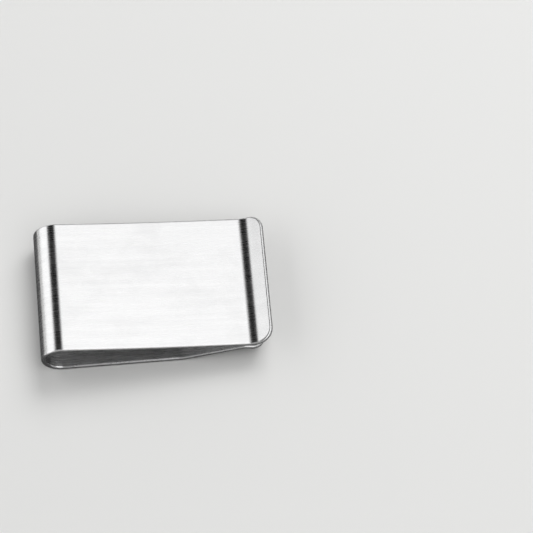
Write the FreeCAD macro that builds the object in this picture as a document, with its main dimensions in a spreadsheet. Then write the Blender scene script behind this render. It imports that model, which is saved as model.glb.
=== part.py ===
"""Money clip: one strip of spring steel folded into a roll, a front plate and a back leaf.

The strip is drawn as a chain of bends and straights along its middle line.
It starts at the apex of the roll and runs both ways, so every piece begins where the last one ends.
Lengths are millimetres and turns are degrees; X runs from the roll to the mouth and Z points up.
"""
import FreeCAD, Part
import math
import os
import Sketcher

# Driving dimensions. Radii and lengths are taken on the middle line of the strip,
# unless the name says otherwise.
DRIVING = [
    ("strip_width", 25.0),
    ("strip_thickness", 0.85),
    ("edge_radius", 0.36),
    ("corner_radius", 2.6),
    ("roll_outer_radius", 3.75),
    ("split_gap", 0.16),
    ("plate_slope", 7.1),
    ("plate_turn", 3.2),
    ("plate_length", 32.0),
    ("crease_radius", 4.5),
    ("flare_turn", 27.0),
    ("lip_length", 2.5),
    ("leaf_length", 20.0),
    ("ramp_turn", 13.0),
    ("ramp_bend_radius", 6.4),
    ("crest_radius", 3.0),
    ("crest_rise", 2.44),
    ("toe_slope", 16.0),
    ("toe_length", 3.0),
]

# Worked out from the driving dimensions.
# A heading is the climb of the middle line, seen with +X to the right.
WORKED_OUT = [
    ("degrees_per_radian", "=180 / pi"),
    ("roll_radius", "=roll_outer_radius - strip_thickness / 2"),
    ("split_angle", "=split_gap / 2 / roll_radius * degrees_per_radian"),
    ("upper_roll_turn", "=90 + plate_slope - split_angle"),
    ("lower_roll_turn", "=90 - split_angle"),
    ("plate_radius", "=plate_length / plate_turn * degrees_per_radian"),
    ("plate_heading", "=-plate_slope"),
    ("lip_start_heading", "=plate_heading + plate_turn"),
    ("lip_heading", "=lip_start_heading + flare_turn"),
    ("crest_turn", "=ramp_turn + toe_slope"),
    ("bent_rise", "=(1 - cos(ramp_turn)) * (ramp_bend_radius + crest_radius)"),
    ("ramp_length", "=(crest_rise - bent_rise) / sin(ramp_turn)"),
    ("plate_reach", "=roll_radius * sin(plate_slope)"),
    ("plate_span", "=plate_radius * (sin(lip_start_heading) - sin(plate_heading))"),
    ("plate_drop", "=plate_radius * (cos(lip_start_heading) - cos(plate_heading))"),
    ("crease_span", "=crease_radius * (sin(lip_heading) - sin(lip_start_heading))"),
    ("lip_span", "=lip_length * cos(lip_heading) + strip_thickness / 2 * sin(lip_heading)"),
    ("lip_rounding", "=edge_radius * (1 - cos(lip_heading) - sin(lip_heading))"),
    ("mouth_reach", "=plate_reach + plate_span + crease_span + lip_span + lip_rounding"),
    ("overall_length", "=roll_outer_radius + mouth_reach"),
    ("roll_x", "=roll_outer_radius - overall_length / 2"),
    ("roll_z", "=roll_outer_radius"),
    ("split_x", "=roll_x - roll_radius * cos(split_angle)"),
    ("split_rise", "=roll_radius * sin(split_angle)"),
    ("upper_roll_z", "=roll_z + split_rise"),
    ("upper_roll_heading", "=90 - split_angle"),
    ("lower_roll_z", "=roll_z - split_rise"),
    ("lower_roll_heading", "=split_angle - 90"),
    ("plate_x", "=roll_x + plate_reach"),
    ("plate_z", "=roll_z + roll_radius * cos(plate_slope)"),
    ("lip_x", "=plate_x + plate_span"),
    ("lip_z", "=plate_z - plate_drop"),
    ("leaf_z", "=strip_thickness / 2"),
    ("ramp_x", "=roll_x + leaf_length"),
    ("toe_x", "=ramp_x + ramp_bend_radius * sin(ramp_turn) + ramp_length * cos(ramp_turn)"),
    ("toe_z", "=leaf_z + ramp_bend_radius * (1 - cos(ramp_turn)) + ramp_length * sin(ramp_turn)"),
    ("level", "=0"),
]

ROOT = -1
ORIGIN_POINT = 1
Z_AXIS = -2
START, END, CENTRE = 1, 2, 3
QUARTER_TURN = math.pi / 2
MATCH = 1e-4
SHARP_COSINE = 0.9


def fill_sheet(document):
    """Write the driving dimensions as plain numbers and the rest as formulas."""
    sheet = document.addObject("Spreadsheet::Sheet", "dims")
    for row, (name, content) in enumerate(DRIVING + WORKED_OUT, start=1):
        sheet.set(f"A{row}", name)
        sheet.set(f"B{row}", str(content))
        sheet.setAlias(f"B{row}", name)
    document.recompute()
    return sheet


def bind(sketch, constraint, name, formula):
    """Add a constraint, name it and tie its size to the sheet."""
    index = sketch.addConstraint(constraint)
    sketch.renameConstraint(index, name)
    sketch.setExpression(f"Constraints.{name}", formula)


def join(sketch, first, first_end, second, second_end):
    """Make two ends meet."""
    sketch.addConstraint(Sketcher.Constraint("Coincident", first, first_end, second, second_end))


def draw_line(sketch, start, end):
    """Add a line between two points of the sketch."""
    return sketch.addGeometry(Part.LineSegment(FreeCAD.Vector(*start, 0), FreeCAD.Vector(*end, 0)))


def draw_bend(sketch, side, turn_name, radius_name):
    """Draw the two concentric arcs of a bend that leaves the origin along +X.

    side is 1 for a bend that climbs and -1 for one that drops.
    Returns the inner arc, the outer arc and which end of both arcs is the finishing one.
    """
    middle = dims.get(radius_name)
    turn = math.radians(dims.get(turn_name))
    half = dims.get("strip_thickness") / 2
    centre = FreeCAD.Vector(0, side * middle, 0)
    first, last = -side * QUARTER_TURN, -side * QUARTER_TURN + side * turn
    arcs = []
    for offset in (-half, half):
        circle = Part.Circle(centre, FreeCAD.Vector(0, 0, 1), middle + offset)
        arcs.append(sketch.addGeometry(Part.ArcOfCircle(circle, min(first, last), max(first, last))))
    inner, outer = arcs
    begin, finish = (START, END) if side > 0 else (END, START)
    join(sketch, inner, CENTRE, outer, CENTRE)
    sketch.addConstraint(Sketcher.Constraint("PointOnObject", inner, CENTRE, Z_AXIS))
    if side > 0:
        height = Sketcher.Constraint("DistanceY", ROOT, ORIGIN_POINT, inner, CENTRE, middle)
    else:
        height = Sketcher.Constraint("DistanceY", inner, CENTRE, ROOT, ORIGIN_POINT, middle)
    bind(sketch, height, "bend_height", f"dims.{radius_name}")
    inner_size = Sketcher.Constraint("Radius", inner, middle - half)
    outer_size = Sketcher.Constraint("Radius", outer, middle + half)
    bind(sketch, inner_size, "inner_radius", f"dims.{radius_name} - dims.strip_thickness / 2")
    bind(sketch, outer_size, "outer_radius", f"dims.{radius_name} + dims.strip_thickness / 2")
    starting_cap = draw_line(sketch, (0, side * half), (0, -side * half))
    join(sketch, starting_cap, START, inner, begin)
    join(sketch, starting_cap, END, outer, begin)
    for arc in arcs:
        sketch.addConstraint(Sketcher.Constraint("PointOnObject", arc, begin, Z_AXIS))
    return inner, outer, finish


def bend_point(side, radius, middle, turn):
    """Point of an arc of a bend, at its finishing end."""
    return radius * math.sin(turn), side * (middle - radius * math.cos(turn))


def close_bend(sketch, side, turn_name, radius_name, bend):
    """Close a bend that has no straight run after it with a radial cap."""
    inner, outer, finish = bend
    middle = dims.get(radius_name)
    turn = math.radians(dims.get(turn_name))
    half = dims.get("strip_thickness") / 2
    near = bend_point(side, middle - half, middle, turn)
    far = bend_point(side, middle + half, middle, turn)
    cap = draw_line(sketch, near, far)
    join(sketch, cap, START, inner, finish)
    join(sketch, cap, END, outer, finish)
    sketch.addConstraint(Sketcher.Constraint("PointOnObject", inner, CENTRE, cap))
    slope = Sketcher.Constraint("Angle", cap, side * (turn - QUARTER_TURN))
    bind(sketch, slope, "cap_slope", f"{side} * (dims.{turn_name} - 90) * 1 deg")


def add_straight(sketch, side, turn_name, radius_name, length_name, bend):
    """Run a straight out of a bend, tangent to both arcs, and close it square."""
    middle = dims.get(radius_name)
    turn = math.radians(dims.get(turn_name))
    half = dims.get("strip_thickness") / 2
    length = dims.get(length_name)
    step = (length * math.cos(turn), side * length * math.sin(turn))
    inner, outer, finish = bend
    lines = []
    ends = []
    for arc, radius in ((inner, middle - half), (outer, middle + half)):
        near = bend_point(side, radius, middle, turn)
        far = (near[0] + step[0], near[1] + step[1])
        line = draw_line(sketch, near, far)
        sketch.addConstraint(Sketcher.Constraint("Tangent", arc, finish, line, START))
        lines.append(line)
        ends.append(far)
    cap = draw_line(sketch, *ends)
    for line, cap_end in zip(lines, (START, END)):
        join(sketch, line, END, cap, cap_end)
    sketch.addConstraint(Sketcher.Constraint("Perpendicular", cap, lines[0]))
    sketch.addConstraint(Sketcher.Constraint("Parallel", *lines))
    bind(sketch, Sketcher.Constraint("Distance", lines[0], length), "run_length", f"dims.{length_name}")
    slope = Sketcher.Constraint("Angle", lines[0], side * turn)
    bind(sketch, slope, "run_slope", f"{side} * dims.{turn_name} * 1 deg")


def draw_flat(sketch, length_name):
    """Draw the side view of a flat run that leaves the origin along +X."""
    half = dims.get("strip_thickness") / 2
    length = dims.get(length_name)
    corners = [(0, -half), (length, -half), (length, half), (0, half)]
    sides = [draw_line(sketch, corners[k], corners[(k + 1) % len(corners)]) for k in range(len(corners))]
    for k, side in enumerate(sides):
        join(sketch, side, END, sides[(k + 1) % len(sides)], START)
    bottom, finish, top, begin = sides
    sketch.addConstraint(Sketcher.Constraint("Horizontal", bottom))
    sketch.addConstraint(Sketcher.Constraint("Horizontal", top))
    sketch.addConstraint(Sketcher.Constraint("Vertical", finish))
    sketch.addConstraint(Sketcher.Constraint("Symmetric", begin, START, begin, END, ROOT, ORIGIN_POINT))
    sketch.addConstraint(Sketcher.Constraint("PointOnObject", begin, START, Z_AXIS))
    bind(sketch, Sketcher.Constraint("Distance", bottom, length), "run_length", f"dims.{length_name}")
    bind(sketch, Sketcher.Constraint("Distance", begin, 2 * half), "run_depth", "dims.strip_thickness")


def new_body(name, x_name, z_name, heading_name):
    """Start a piece whose own origin sits on the middle line, with its own +X along the strip."""
    body = document.addObject("PartDesign::Body", name)
    body.Label = name
    body.Placement = FreeCAD.Placement(FreeCAD.Vector(), FreeCAD.Rotation(FreeCAD.Vector(0, -1, 0), 1))
    body.setExpression("Placement.Base.x", f"dims.{x_name}")
    body.setExpression("Placement.Base.z", f"dims.{z_name}")
    body.setExpression("Placement.Rotation.Angle", f"dims.{heading_name}")
    return body


def side_sketch(body):
    """Open a sketch on the piece's own XZ plane."""
    sketch = body.newObject("Sketcher::SketchObject", f"{body.Name}_profile")
    plane = next(item for item in body.Origin.OriginFeatures if item.Role == "XZ_Plane")
    sketch.AttachmentSupport = [(plane, "")]
    sketch.MapMode = "FlatFace"
    return sketch


def pad_across(body, sketch):
    """Give the side view the width of the strip, half to each side."""
    if sketch.solve() != 0:
        raise RuntimeError(f"{sketch.Name} does not solve")
    pad = body.newObject("PartDesign::Pad", f"{body.Name}_width")
    pad.Profile = sketch
    pad.SideType = "Symmetric"
    pad.setExpression("Length", "dims.strip_width")
    sketch.Visibility = False
    document.recompute()
    return pad


def is_end_cap(face):
    """Tell whether a face closes the strip, rather than being one of its sides or surfaces."""
    if not isinstance(face.Surface, Part.Plane) or abs(face.Surface.Axis.y) > MATCH:
        return False
    thickness = dims.get("strip_thickness")
    return any(abs(edge.Length - thickness) < MATCH for edge in face.Edges)


def faces_meeting(shape, edge):
    """Return the faces of a shape that share an edge."""
    return [face for face in shape.Faces if any(edge.isSame(other) for other in face.Edges)]


def is_sharp(shape, edge):
    """Tell whether the two faces at an edge meet at an angle."""
    point = edge.valueAt((edge.FirstParameter + edge.LastParameter) / 2)
    normals = [face.normalAt(*face.Surface.parameter(point)) for face in faces_meeting(shape, edge)]
    return len(normals) == 2 and normals[0].dot(normals[1]) < SHARP_COSINE


def round_edges(body, base, names, radius_name, suffix):
    """Round the named edges of a feature."""
    fillet = body.newObject("PartDesign::Fillet", f"{body.Name}_{suffix}")
    fillet.Base = (base, names)
    fillet.setExpression("Radius", f"dims.{radius_name}")
    document.recompute()
    return fillet


def round_corners(body, base):
    """Round the two corners of the free end, seen from above."""
    shape = base.Shape
    free_cap = max(filter(is_end_cap, shape.Faces), key=lambda face: face.CenterOfMass.x)
    thickness = dims.get("strip_thickness")
    corners = [edge for edge in free_cap.Edges if abs(edge.Length - thickness) < MATCH]
    names = []
    for number, edge in enumerate(shape.Edges, start=1):
        if any(edge.isSame(corner) for corner in corners):
            names.append(f"Edge{number}")
    return round_edges(body, base, names, "corner_radius", "corners")


def soften_edges(body, base, seams):
    """Round every sharp edge of the strip except those where it runs on into another piece."""
    shape = base.Shape
    caps = sorted(filter(is_end_cap, shape.Faces), key=lambda face: face.CenterOfMass.x)
    seam_edges = [edge for cap in seams(caps) for edge in cap.Edges]
    names = []
    for number, edge in enumerate(shape.Edges, start=1):
        on_seam = any(edge.isSame(other) for other in seam_edges)
        if not on_seam and is_sharp(shape, edge):
            names.append(f"Edge{number}")
    return round_edges(body, base, names, "edge_radius", "edges")


def every_cap(caps):
    """Both ends run on into other pieces."""
    return caps


def first_cap(caps):
    """Only the starting end runs on into another piece."""
    return caps[:1]


def bend_piece(name, place, side, turn_name, radius_name):
    """Build a piece that is one plain bend between two seams."""
    body = new_body(name, *place)
    sketch = side_sketch(body)
    bend = draw_bend(sketch, side, turn_name, radius_name)
    close_bend(sketch, side, turn_name, radius_name, bend)
    soften_edges(body, pad_across(body, sketch), every_cap)
    return body


def bend_and_run_piece(name, place, side, turn_name, radius_name, length_name, free_end):
    """Build a piece that bends and then runs straight, to a seam or to a rounded free end."""
    body = new_body(name, *place)
    sketch = side_sketch(body)
    bend = draw_bend(sketch, side, turn_name, radius_name)
    add_straight(sketch, side, turn_name, radius_name, length_name, bend)
    base = pad_across(body, sketch)
    if free_end:
        base = round_corners(body, base)
    soften_edges(body, base, first_cap if free_end else every_cap)
    return body


def flat_piece(name, place, length_name):
    """Build a flat piece between two seams."""
    body = new_body(name, *place)
    sketch = side_sketch(body)
    draw_flat(sketch, length_name)
    soften_edges(body, pad_across(body, sketch), every_cap)
    return body


UP, DOWN = 1, -1
document = FreeCAD.newDocument("money_clip")
dims = fill_sheet(document)

# The front: half of the roll, the long plate with its slight sag, and the flared lip.
upper_roll = bend_piece(
    "upper_roll", ("split_x", "upper_roll_z", "upper_roll_heading"), DOWN,
    "upper_roll_turn", "roll_radius")
front_plate = bend_piece(
    "front_plate", ("plate_x", "plate_z", "plate_heading"), UP, "plate_turn", "plate_radius")
flared_lip = bend_and_run_piece(
    "flared_lip", ("lip_x", "lip_z", "lip_start_heading"), UP,
    "flare_turn", "crease_radius", "lip_length", True)

# The back: the other half of the roll, the flat leaf, the ramp up to the crest, and the toe.
lower_roll = bend_piece(
    "lower_roll", ("split_x", "lower_roll_z", "lower_roll_heading"), UP, "lower_roll_turn", "roll_radius")
back_leaf = flat_piece("back_leaf", ("roll_x", "leaf_z", "level"), "leaf_length")
grip_ramp = bend_and_run_piece(
    "grip_ramp", ("ramp_x", "leaf_z", "level"), UP,
    "ramp_turn", "ramp_bend_radius", "ramp_length", False)
back_toe = bend_and_run_piece(
    "back_toe", ("toe_x", "toe_z", "ramp_turn"), DOWN,
    "crest_turn", "crest_radius", "toe_length", True)

document.recompute()
for item in document.Objects:
    if "Invalid" in item.State or "Error" in item.State:
        raise RuntimeError(f"{item.Name} did not compute: {item.State}")

pieces = [upper_roll, front_plate, flared_lip, lower_roll, back_leaf, grip_ramp, back_toe]
os.makedirs("parts", exist_ok=True)
for piece in pieces:
    if piece.Shape.isNull() or not piece.Shape.isValid() or len(piece.Shape.Solids) != 1:
        raise RuntimeError(f"{piece.Label} is not one valid solid")
    piece.Shape.exportStep(f"parts/{piece.Label}.step")
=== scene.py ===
"""Money clip: the brushed strip, its material, the floor, the studio light and the camera.

The strip is one chain of bends and straights along its middle line, the same chain as the CAD part.
It is laid out flat first, from the toe of the back leaf to the lip, and then bent.
On the flat strip s runs along it, y across it, and n out of the side that faces away from the notes.
"""
import math

import bpy
from mathutils import Matrix, Vector


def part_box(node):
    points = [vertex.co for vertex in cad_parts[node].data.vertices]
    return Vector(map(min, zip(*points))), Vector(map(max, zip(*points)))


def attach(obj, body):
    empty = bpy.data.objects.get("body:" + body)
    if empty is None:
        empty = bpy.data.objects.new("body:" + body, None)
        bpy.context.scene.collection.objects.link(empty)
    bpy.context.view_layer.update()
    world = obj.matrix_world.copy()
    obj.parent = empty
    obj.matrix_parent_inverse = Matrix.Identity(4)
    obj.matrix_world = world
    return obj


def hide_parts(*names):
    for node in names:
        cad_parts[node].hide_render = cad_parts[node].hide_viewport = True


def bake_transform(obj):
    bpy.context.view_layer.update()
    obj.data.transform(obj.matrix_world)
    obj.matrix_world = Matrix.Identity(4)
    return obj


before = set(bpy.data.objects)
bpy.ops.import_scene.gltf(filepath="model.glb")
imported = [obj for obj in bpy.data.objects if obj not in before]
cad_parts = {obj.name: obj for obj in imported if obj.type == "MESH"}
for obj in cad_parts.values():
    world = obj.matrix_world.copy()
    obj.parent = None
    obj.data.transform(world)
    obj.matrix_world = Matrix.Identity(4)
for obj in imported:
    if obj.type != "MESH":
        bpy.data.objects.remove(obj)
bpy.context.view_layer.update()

MM = 0.001

# Turns, radii and lengths that the CAD boxes don't give directly, as the CAD part has them.
PLATE_SLOPE = math.radians(7.1)
PLATE_TURN = math.radians(3.2)
PLATE_LENGTH = 32.0 * MM
FLARE_TURN = math.radians(27.0)
CREASE_RADIUS = 4.5 * MM
LIP_LENGTH = 2.5 * MM
RAMP_TURN = math.radians(13.0)
RAMP_BEND_RADIUS = 6.4 * MM
CREST_RADIUS = 3.0 * MM
TOE_SLOPE = math.radians(16.0)
TOE_LENGTH = 3.0 * MM
CORNER_RADIUS = 2.6 * MM

# The rest comes from the frame.
leaf_low, leaf_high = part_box("back_leaf")
roll_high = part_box("upper_roll")[1]
crest_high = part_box("back_toe")[1]
THICKNESS = leaf_high.z - leaf_low.z
HALF_THICKNESS = THICKNESS / 2
HALF_WIDTH = (leaf_high.y - leaf_low.y) / 2
LEAF_LENGTH = leaf_high.x - leaf_low.x
ROLL_OUTER = roll_high.z / 2
ROLL_RADIUS = ROLL_OUTER - HALF_THICKNESS
BENT_RISE = (1 - math.cos(RAMP_TURN)) * (RAMP_BEND_RADIUS + CREST_RADIUS)
RAMP_LENGTH = (crest_high.z - THICKNESS - BENT_RISE) / math.sin(RAMP_TURN)

EDGE_RADIUS = 0.36 * MM
LONGEST_STEP = 0.8 * MM
WIDEST_TURN = math.radians(3.0)
SHORTEST_STEP = 0.02 * MM
EDGE_STEPS = 6
CORNER_STEPS = 16


def bend(radius, turn):
    """Length and turn of a bend; a positive turn is anticlockwise, seen with +X to the right."""
    return radius * abs(turn), turn


def straight(length):
    """Length and turn of a straight run."""
    return length, 0.0


BACK_RUNS = [
    straight(TOE_LENGTH),
    bend(CREST_RADIUS, RAMP_TURN + TOE_SLOPE),
    straight(RAMP_LENGTH),
    bend(RAMP_BEND_RADIUS, -RAMP_TURN),
    straight(LEAF_LENGTH),
]
ROLL_RUNS = [bend(ROLL_RADIUS, -(math.pi + PLATE_SLOPE))]
FRONT_RUNS = [
    bend(PLATE_LENGTH / PLATE_TURN, PLATE_TURN),
    bend(CREASE_RADIUS, FLARE_TURN),
    straight(LIP_LENGTH),
]
ALL_RUNS = BACK_RUNS + ROLL_RUNS + FRONT_RUNS


def total(runs):
    """Length of a list of runs."""
    return sum(length for length, _ in runs)


ROLL_START = total(BACK_RUNS)
ROLL_END = ROLL_START + total(ROLL_RUNS)
STRIP_END = total(ALL_RUNS)


def step_along(x, z, heading, length, turn, distance):
    """Follow one run from its start for a distance."""
    new_heading = heading + turn * distance / length
    if turn == 0:
        return x + distance * math.cos(heading), z + distance * math.sin(heading), heading
    radius = length / turn
    new_x = x + radius * (math.sin(new_heading) - math.sin(heading))
    new_z = z - radius * (math.cos(new_heading) - math.cos(heading))
    return new_x, new_z, new_heading


def lay_runs(x, z, heading):
    """Starting place and heading of every run, given those of the toe's tip."""
    placed = []
    mark = 0.0
    for length, turn in ALL_RUNS:
        placed.append((mark, x, z, heading, length, turn))
        x, z, heading = step_along(x, z, heading, length, turn, length)
        mark += length
    return placed


# The leaf lies flat and heads towards -X, so the toe's tip heads up and towards -X.
TOE_HEADING = math.pi - TOE_SLOPE
trial = lay_runs(0.0, 0.0, TOE_HEADING)
_, roll_x, roll_z, _, _, _ = trial[len(BACK_RUNS)]
PLACED = lay_runs(leaf_low.x - roll_x, HALF_THICKNESS - roll_z, TOE_HEADING)


def middle_line(s):
    """Place on the middle line and heading there."""
    for mark, x, z, heading, length, turn in reversed(PLACED):
        if s >= mark:
            break
    return step_along(x, z, heading, length, turn, s - mark)


def bent(s, y, n):
    """Place of a flat point once bent, with the directions along the strip and out of it."""
    x, z, heading = middle_line(s)
    along = Vector((math.cos(heading), 0.0, math.sin(heading)))
    out = Vector((-math.sin(heading), 0.0, math.cos(heading)))
    return Vector((x, y, z)) + out * n, along, out


def stations(start, end):
    """Distances from start to end, close enough together that every bend looks smooth."""
    marks = {start, end}
    for mark, _, _, _, length, turn in PLACED:
        count = max(math.ceil(length / LONGEST_STEP), math.ceil(abs(turn) / WIDEST_TURN))
        for k in range(count + 1):
            s = mark + length * k / count
            if start < s < end:
                marks.add(s)
    ordered = sorted(marks)
    kept = []
    for k, s in enumerate(ordered):
        if k == 0 or s - ordered[k - 1] > SHORTEST_STEP or s == end:
            kept.append(s)
    return kept


def side_outline(start, end):
    """The +Y side of a length of strip: (s, y, outward part along s, outward part along y).

    An end that is the tip of the strip gets its rounded corner.
    """
    low = start + CORNER_RADIUS if start == 0 else start
    high = end - CORNER_RADIUS if end == STRIP_END else end
    points = [(s, HALF_WIDTH, 0.0, 1.0) for s in stations(low, high)]

    def corner(centre, sign):
        arc = []
        for k in range(1, CORNER_STEPS + 1):
            angle = math.pi / 2 * k / CORNER_STEPS
            out_s, out_y = sign * math.sin(angle), math.cos(angle)
            s = centre + CORNER_RADIUS * out_s
            y = HALF_WIDTH - CORNER_RADIUS * (1 - out_y)
            arc.append((s, y, out_s, out_y))
        return arc

    if low > start:
        points = corner(low, -1)[::-1] + points
    if high < end:
        points = points + corner(high, 1)
    return points


def edge_section():
    """Section of the strip's edge from its outer face to its inner face.

    Each step is (inset, n, outward part, part along n, distance round the edge).
    """
    steps = []
    quarter = EDGE_RADIUS * math.pi / 2
    flat = THICKNESS - 2 * EDGE_RADIUS
    for k in range(EDGE_STEPS + 1):
        angle = math.pi / 2 * k / EDGE_STEPS
        outward, upward = math.sin(angle), math.cos(angle)
        inset = EDGE_RADIUS * (1 - outward)
        n = HALF_THICKNESS - EDGE_RADIUS * (1 - upward)
        steps.append((inset, n, outward, upward, EDGE_RADIUS * angle))
    for inset, n, outward, upward, distance in steps[::-1]:
        steps.append((inset, -n, outward, -upward, 2 * quarter + flat - distance))
    return steps


def add_faces(faces, upper, lower):
    """Join two rows of vertices with quads."""
    for k in range(len(upper) - 1):
        faces.append((upper[k], upper[k + 1], lower[k + 1], lower[k]))


def place_points(side, section):
    """Bend every point of the strip's outline and edge.

    Returns the places, their normals, their flat coordinates, and the rows they form by hand and level.
    """
    places, normals, flat = [], [], []
    rows = {}
    for hand in (1, -1):
        across = Vector((0.0, hand, 0.0))
        for level, (inset, n, outward, upward, distance) in enumerate(section):
            row = []
            for s, y, out_s, out_y in side:
                flat_s = s - inset * out_s
                flat_y = hand * (y - inset * out_y)
                where, along, out = bent(flat_s, flat_y, n)
                sideways = along * out_s + across * out_y
                normals.append((sideways * outward + out * upward).normalized())
                flat.append(((flat_y + hand * distance * out_y) / MM, (flat_s + distance * out_s) / MM))
                row.append(len(places))
                places.append(where)
            rows[hand, level] = row
    return places, normals, flat, rows


def strip_faces(rows, last, start, end):
    """Faces of a length of strip, and the normals of those that close it at a seam."""
    ends = ((0, start, -1, start == 0), (-1, end, 1, end == STRIP_END))
    faces = []
    for level in range(last):
        for hand in (1, -1):
            add_faces(faces, rows[hand, level], rows[hand, level + 1])
        for column, _, _, is_tip in ends:
            if is_tip:
                faces.append((
                    rows[1, level][column], rows[-1, level][column],
                    rows[-1, level + 1][column], rows[1, level + 1][column]))
    add_faces(faces, rows[1, 0], rows[-1, 0])
    add_faces(faces, rows[1, last], rows[-1, last])
    cap_normals = {}
    for column, s, way, is_tip in ends:
        if not is_tip:
            right = [rows[1, level][column] for level in range(last + 1)]
            left = [rows[-1, level][column] for level in range(last + 1)]
            cap_normals[len(faces)] = bent(s, 0.0, 0.0)[1] * way
            faces.append(tuple(right + left[::-1]))
    return faces, cap_normals


def dress_mesh(mesh, normals, flat, cap_normals):
    """Give a mesh its exact normals and its flat coordinates."""
    uv = mesh.uv_layers.new(name="flat_strip")
    corner_normals = []
    for polygon in mesh.polygons:
        for loop in polygon.loop_indices:
            vertex = mesh.loops[loop].vertex_index
            uv.data[loop].uv = flat[vertex]
            corner_normals.append(cap_normals.get(polygon.index, normals[vertex]))
    mesh.polygons.foreach_set("use_smooth", [True] * len(mesh.polygons))
    mesh.normals_split_custom_set(corner_normals)


def strip_piece(name, start, end):
    """Build a length of the strip as one closed mesh, with exact normals and a UV in millimetres."""
    section = edge_section()
    places, normals, flat, rows = place_points(side_outline(start, end), section)
    faces, cap_normals = strip_faces(rows, len(section) - 1, start, end)
    faces = [facing_out(face, places, normals, cap_normals.get(k)) for k, face in enumerate(faces)]
    mesh = bpy.data.meshes.new(name)
    mesh.from_pydata(places, [], faces)
    dress_mesh(mesh, normals, flat, cap_normals)
    piece = bpy.data.objects.new(name, mesh)
    bpy.context.scene.collection.objects.link(piece)
    return piece


def facing_out(face, places, normals, cap_normal):
    """Order a face's vertices so that it faces the way its normals point."""
    turn = Vector()
    for k, vertex in enumerate(face):
        turn += places[vertex].cross(places[face[(k + 1) % len(face)]])
    wanted = cap_normal if cap_normal else sum((normals[vertex] for vertex in face), Vector())
    return face if turn.dot(wanted) > 0 else face[::-1]


class Nodes:
    """Short way to add shader nodes and join them."""

    def __init__(self, name):
        self.material = bpy.data.materials.new(name)
        self.material.use_nodes = True
        self.tree = self.material.node_tree
        self.shader = self.tree.nodes["Principled BSDF"]

    def add(self, kind, settings=None, **inputs):
        node = self.tree.nodes.new(kind)
        for setting, value in (settings or {}).items():
            setattr(node, setting, value)
        for name, value in inputs.items():
            self.feed(node, name.replace("_", " "), value)
        return node

    def feed(self, node, socket, value):
        if hasattr(value, "is_output"):
            self.tree.links.new(value, node.inputs[socket])
        else:
            node.inputs[socket].default_value = value

    def streaks(self, flat_strip, across, along, detail):
        """Noise in lines along the strip, with so many features per millimetre across it and along it."""
        stretched = self.add("ShaderNodeMapping", Vector=flat_strip, Scale=(across, along, 1.0))
        noise = self.add(
            "ShaderNodeTexNoise", {"noise_dimensions": "2D"},
            Vector=stretched.outputs["Vector"], Scale=1.0, Detail=detail, Roughness=0.6)
        return noise.outputs["Fac"]

    def remap(self, value, low, high, to_low, to_high):
        """Stretch a range of values onto another, without going past its ends."""
        ramp = self.add("ShaderNodeMapRange", Value=value)
        ramp.inputs["From Min"].default_value = low
        ramp.inputs["From Max"].default_value = high
        ramp.inputs["To Min"].default_value = to_low
        ramp.inputs["To Max"].default_value = to_high
        return ramp.outputs["Result"]

    def math(self, operation, first, second):
        node = self.add("ShaderNodeMath", {"operation": operation})
        self.feed(node, 0, first)
        self.feed(node, 1, second)
        return node.outputs["Value"]


# Brush marks: how many to a millimetre across the strip, how many along it, and their fine detail.
FINE_LINES = (16.0, 0.3, 3.0)
MEDIUM_LINES = (5.0, 0.12, 3.0)
SCRATCHES = (3.5, 0.7, 2.0)
BROAD_TONE = (0.9, 0.04, 3.0)
SMUDGES = (0.16, 0.12, 3.0)
NOISE_LOW, NOISE_HIGH = 0.35, 0.65
SMUDGE_LOW, SMUDGE_HIGH = 0.45, 0.75
DARKER_STEEL = (0.76, 0.76, 0.765, 1.0)
LIGHTER_STEEL = (0.91, 0.91, 0.91, 1.0)
SMOOTHEST, ROUGHEST = 0.22, 0.31
SMUDGE_ROUGHNESS = 0.04
BRUSH_PULL = 0.9
LINE_SHARE_OF_RELIEF = 0.3
RELIEF_DEPTH = 0.0035 * MM


def brushed_steel():
    """Stainless steel brushed along the strip: fine lines, a few deeper ones, faint handling marks."""
    nodes = Nodes("brushed_steel_strip")
    flat_strip = nodes.add("ShaderNodeUVMap", {"uv_map": "flat_strip"}).outputs["UV"]
    fine = nodes.streaks(flat_strip, *FINE_LINES)
    medium = nodes.streaks(flat_strip, *MEDIUM_LINES)
    scratches = nodes.streaks(flat_strip, *SCRATCHES)
    broad = nodes.streaks(flat_strip, *BROAD_TONE)
    smudge = nodes.streaks(flat_strip, *SMUDGES)
    shader = nodes.shader
    lines = nodes.math("ADD", nodes.math("MULTIPLY", fine, 0.5), nodes.math("MULTIPLY", medium, 0.5))
    tone = nodes.math("ADD", nodes.math("MULTIPLY", lines, 0.8), nodes.math("MULTIPLY", broad, 0.2))
    colour = nodes.add("ShaderNodeMix", {"data_type": "RGBA"})
    nodes.feed(colour, 0, nodes.remap(tone, NOISE_LOW, NOISE_HIGH, 0.0, 1.0))
    colour.inputs[6].default_value = DARKER_STEEL
    colour.inputs[7].default_value = LIGHTER_STEEL
    nodes.feed(shader, "Base Color", colour.outputs[2])
    grain = nodes.remap(lines, NOISE_LOW, NOISE_HIGH, SMOOTHEST, ROUGHEST)
    wear = nodes.remap(smudge, SMUDGE_LOW, SMUDGE_HIGH, 0.0, SMUDGE_ROUGHNESS)
    nodes.feed(shader, "Roughness", nodes.math("ADD", grain, wear))
    shader.inputs["Metallic"].default_value = 1.0
    shader.inputs["Anisotropic"].default_value = BRUSH_PULL
    tangent = nodes.add("ShaderNodeTangent", {"direction_type": "UV_MAP", "uv_map": "flat_strip"})
    nodes.feed(shader, "Tangent", tangent.outputs["Tangent"])
    height = nodes.math("ADD", nodes.math("MULTIPLY", lines, LINE_SHARE_OF_RELIEF), scratches)
    relief = nodes.add("ShaderNodeBump", Height=height, Strength=1.0, Distance=RELIEF_DEPTH)
    nodes.feed(shader, "Normal", relief.outputs["Normal"])
    return nodes.material


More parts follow.
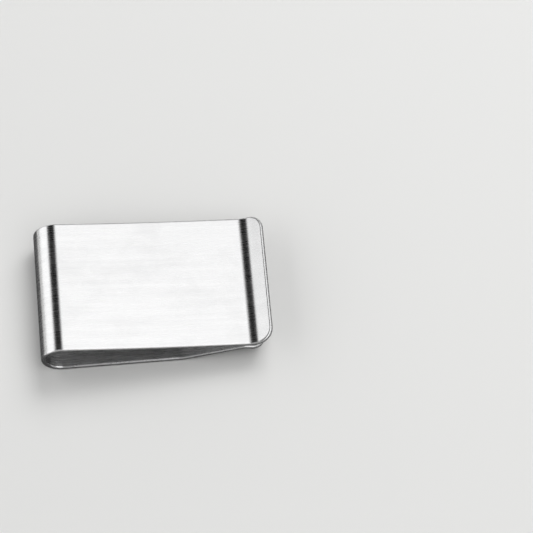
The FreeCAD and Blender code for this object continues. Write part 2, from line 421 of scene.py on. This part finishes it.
steel = brushed_steel()
back_strip = strip_piece("back_strip", 0, ROLL_START)
roll_strip = strip_piece("roll_strip", ROLL_START, ROLL_END)
front_strip = strip_piece("front_strip", ROLL_END, STRIP_END)
for piece in (back_strip, roll_strip, front_strip):
    piece.data.materials.append(steel)

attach(back_strip, "back")
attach(front_strip, "front")
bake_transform(roll_strip)
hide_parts("back_leaf", "grip_ramp", "back_toe")
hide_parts("lower_roll", "upper_roll")
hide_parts("front_plate", "flared_lip")


# Floor, a hair under the clip so that the two surfaces don't coincide.
FLOOR_HALF = 1.5
FLOOR_Z = -0.02 * MM
floor_mesh = bpy.data.meshes.new("floor")
floor_mesh.from_pydata([
    (-FLOOR_HALF, -FLOOR_HALF, FLOOR_Z), (FLOOR_HALF, -FLOOR_HALF, FLOOR_Z),
    (FLOOR_HALF, FLOOR_HALF, FLOOR_Z), (-FLOOR_HALF, FLOOR_HALF, FLOOR_Z)], [], [(0, 1, 2, 3)])
floor = bpy.data.objects.new("floor", floor_mesh)
bpy.context.scene.collection.objects.link(floor)
floor_paint = Nodes("pale_floor")
floor_paint.shader.inputs["Base Color"].default_value = (0.80, 0.80, 0.79, 1.0)
floor_paint.shader.inputs["Roughness"].default_value = 0.9
floor_paint.shader.inputs["Specular IOR Level"].default_value = 0.1
floor_mesh.materials.append(floor_paint.material)


# Camera: looks down at the show side, level, from in front of one long edge.
CAMERA_ELEVATION = math.radians(61.58)
CAMERA_SWING = math.radians(5.0)
CAMERA_DISTANCE = 0.6117
CAMERA_LENS = 236.4
SENSOR = 36.0
ROLL_CENTRE = Vector((leaf_low.x, 0.0, ROLL_OUTER))
aim = ROLL_CENTRE + Vector((36.61, 1.42, 2.50)) * MM
camera_data = bpy.data.cameras.new("camera")
camera_data.lens = CAMERA_LENS
camera_data.sensor_width = SENSOR
camera_data.clip_start = 0.01
camera = bpy.data.objects.new("camera", camera_data)
bpy.context.scene.collection.objects.link(camera)
turn = Matrix.Rotation(-CAMERA_SWING, 4, "Z") @ Matrix.Rotation(math.pi / 2 - CAMERA_ELEVATION, 4, "X")
camera.matrix_world = Matrix.Translation(aim) @ turn @ Matrix.Translation((0, 0, CAMERA_DISTANCE))
bpy.context.scene.camera = camera


# Light: two soft panels, one overhead and one beyond the roll, with a black card in the gap between them.
# The gap is what draws the dark bands in the steel.
OVERHEAD_HEIGHT = 0.75
OVERHEAD_NEAR_Y = -1.2
OVERHEAD_FAR_Y = 0.72
OVERHEAD_MOUTH_X = 0.9
OVERHEAD_RADIANCE = 1.34
OVERHEAD_FEATHER = 0.22
SIDE_DISTANCE = 0.75
SIDE_TOP = 1.18
SIDE_BOTTOM = 0.05
SIDE_NEAR_Y = -0.9
SIDE_FAR_Y = 1.5
SIDE_RADIANCE = 1.2
SIDE_FEATHER = 0.36
GAP_START = math.radians(4)
GAP_END = math.radians(32)
GAP_NEAR_Y = -0.4
GAP_FAR_Y = 2.0


def studio_sheet(name, corners, material):
    """Add a flat sheet that belongs to the studio and that the camera doesn't see."""
    mesh = bpy.data.meshes.new(name)
    mesh.from_pydata(corners, [], [(0, 1, 2, 3)])
    uv = mesh.uv_layers.new(name="across_panel")
    for loop, place in zip(uv.data, ((0, 0), (1, 0), (1, 1), (0, 1))):
        loop.uv = place
    mesh.materials.append(material)
    sheet = bpy.data.objects.new(name, mesh)
    bpy.context.scene.collection.objects.link(sheet)
    sheet.visible_camera = False
    return sheet


def matt_paint(name, tone):
    """A plain matt grey."""
    paint = Nodes(name)
    paint.shader.inputs["Base Color"].default_value = (tone, tone, tone, 1.0)
    paint.shader.inputs["Roughness"].default_value = 1.0
    paint.shader.inputs["Specular IOR Level"].default_value = 0.0
    return paint


def soft_light(name, radiance, feather):
    """Even light that fades out over a share of the panel, towards the panel's first side."""
    light = matt_paint(name, 0.0)
    place = light.add("ShaderNodeUVMap", {"uv_map": "across_panel"}).outputs["UV"]
    along = light.add("ShaderNodeSeparateXYZ", Vector=place).outputs["X"]
    fade = light.add("ShaderNodeMapRange", {"interpolation_type": "SMOOTHSTEP"}, Value=along)
    fade.inputs["From Max"].default_value = feather
    fade.inputs["To Max"].default_value = radiance
    light.shader.inputs["Emission Color"].default_value = (1.0, 1.0, 1.0, 1.0)
    light.feed(light.shader, "Emission Strength", fade.outputs["Result"])
    return light.material


gap_start_x = leaf_low.x - OVERHEAD_HEIGHT * math.tan(GAP_START)
gap_end_x = leaf_low.x - OVERHEAD_HEIGHT * math.tan(GAP_END)
side_x = leaf_low.x - SIDE_DISTANCE
studio_sheet("overhead_panel", [
    (gap_start_x, OVERHEAD_NEAR_Y, OVERHEAD_HEIGHT), (OVERHEAD_MOUTH_X, OVERHEAD_NEAR_Y, OVERHEAD_HEIGHT),
    (OVERHEAD_MOUTH_X, OVERHEAD_FAR_Y, OVERHEAD_HEIGHT), (gap_start_x, OVERHEAD_FAR_Y, OVERHEAD_HEIGHT)],
    soft_light("overhead_light", OVERHEAD_RADIANCE, OVERHEAD_FEATHER))
studio_sheet("side_panel", [
    (side_x, SIDE_NEAR_Y, SIDE_TOP), (side_x, SIDE_NEAR_Y, SIDE_BOTTOM),
    (side_x, SIDE_FAR_Y, SIDE_BOTTOM), (side_x, SIDE_FAR_Y, SIDE_TOP)],
    soft_light("side_light", SIDE_RADIANCE, SIDE_FEATHER))
studio_sheet("gap_card", [
    (gap_end_x, GAP_NEAR_Y, OVERHEAD_HEIGHT), (gap_start_x, GAP_NEAR_Y, OVERHEAD_HEIGHT),
    (gap_start_x, GAP_FAR_Y, OVERHEAD_HEIGHT), (gap_end_x, GAP_FAR_Y, OVERHEAD_HEIGHT)],
    matt_paint("black_card", 0.0).material)

# Painted reflection of shade: a small dark grey card round the clip that only the steel mirrors. It stands in
# for shaded floor near the clip, so that the clip's edges and the roll's lower side read dark against the
# pale floor.
MIRRORED_SHADE_TONE = 0.11
MIRRORED_SHADE_HALF = 0.04
MIRRORED_SHADE_RISE = 0.02 * MM
mirrored_shade_card = studio_sheet("mirrored_shade_card", [
    (-MIRRORED_SHADE_HALF, -MIRRORED_SHADE_HALF, MIRRORED_SHADE_RISE), (MIRRORED_SHADE_HALF, -MIRRORED_SHADE_HALF, MIRRORED_SHADE_RISE),
    (MIRRORED_SHADE_HALF, MIRRORED_SHADE_HALF, MIRRORED_SHADE_RISE), (-MIRRORED_SHADE_HALF, MIRRORED_SHADE_HALF, MIRRORED_SHADE_RISE)],
    matt_paint("mirrored_shade_card", MIRRORED_SHADE_TONE).material)
# The card gives no light, shade or shadow of its own and shows only as a painted dark reflection in the
# steel.
mirrored_shade_card.visible_diffuse = False
mirrored_shade_card.visible_shadow = False
mirrored_shade_card.visible_transmission = False

# Fill for the floor alone, so that it stays pale.
FILL_SIZE = 0.6
FILL_POWER = 4.2
FILL_PLACE = Vector((0.3, 0.5, 0.65))
fill = bpy.data.lights.new("floor_fill", "AREA")
fill.size = FILL_SIZE
fill.energy = FILL_POWER
fill_holder = bpy.data.objects.new("floor_fill", fill)
bpy.context.scene.collection.objects.link(fill_holder)
fill_holder.location = FILL_PLACE
fill_holder.rotation_euler = (-FILL_PLACE).to_track_quat("-Z", "Y").to_euler()
fill_holder.visible_camera = False
fill_holder.visible_glossy = False

# An even white surround.
SURROUND = 0.4
world = bpy.data.worlds.new("studio")
world.use_nodes = True
world.node_tree.nodes["Background"].inputs["Color"].default_value = (1.0, 1.0, 1.0, 1.0)
world.node_tree.nodes["Background"].inputs["Strength"].default_value = SURROUND
bpy.context.scene.world = world
bpy.context.scene.view_settings.view_transform = "Standard"
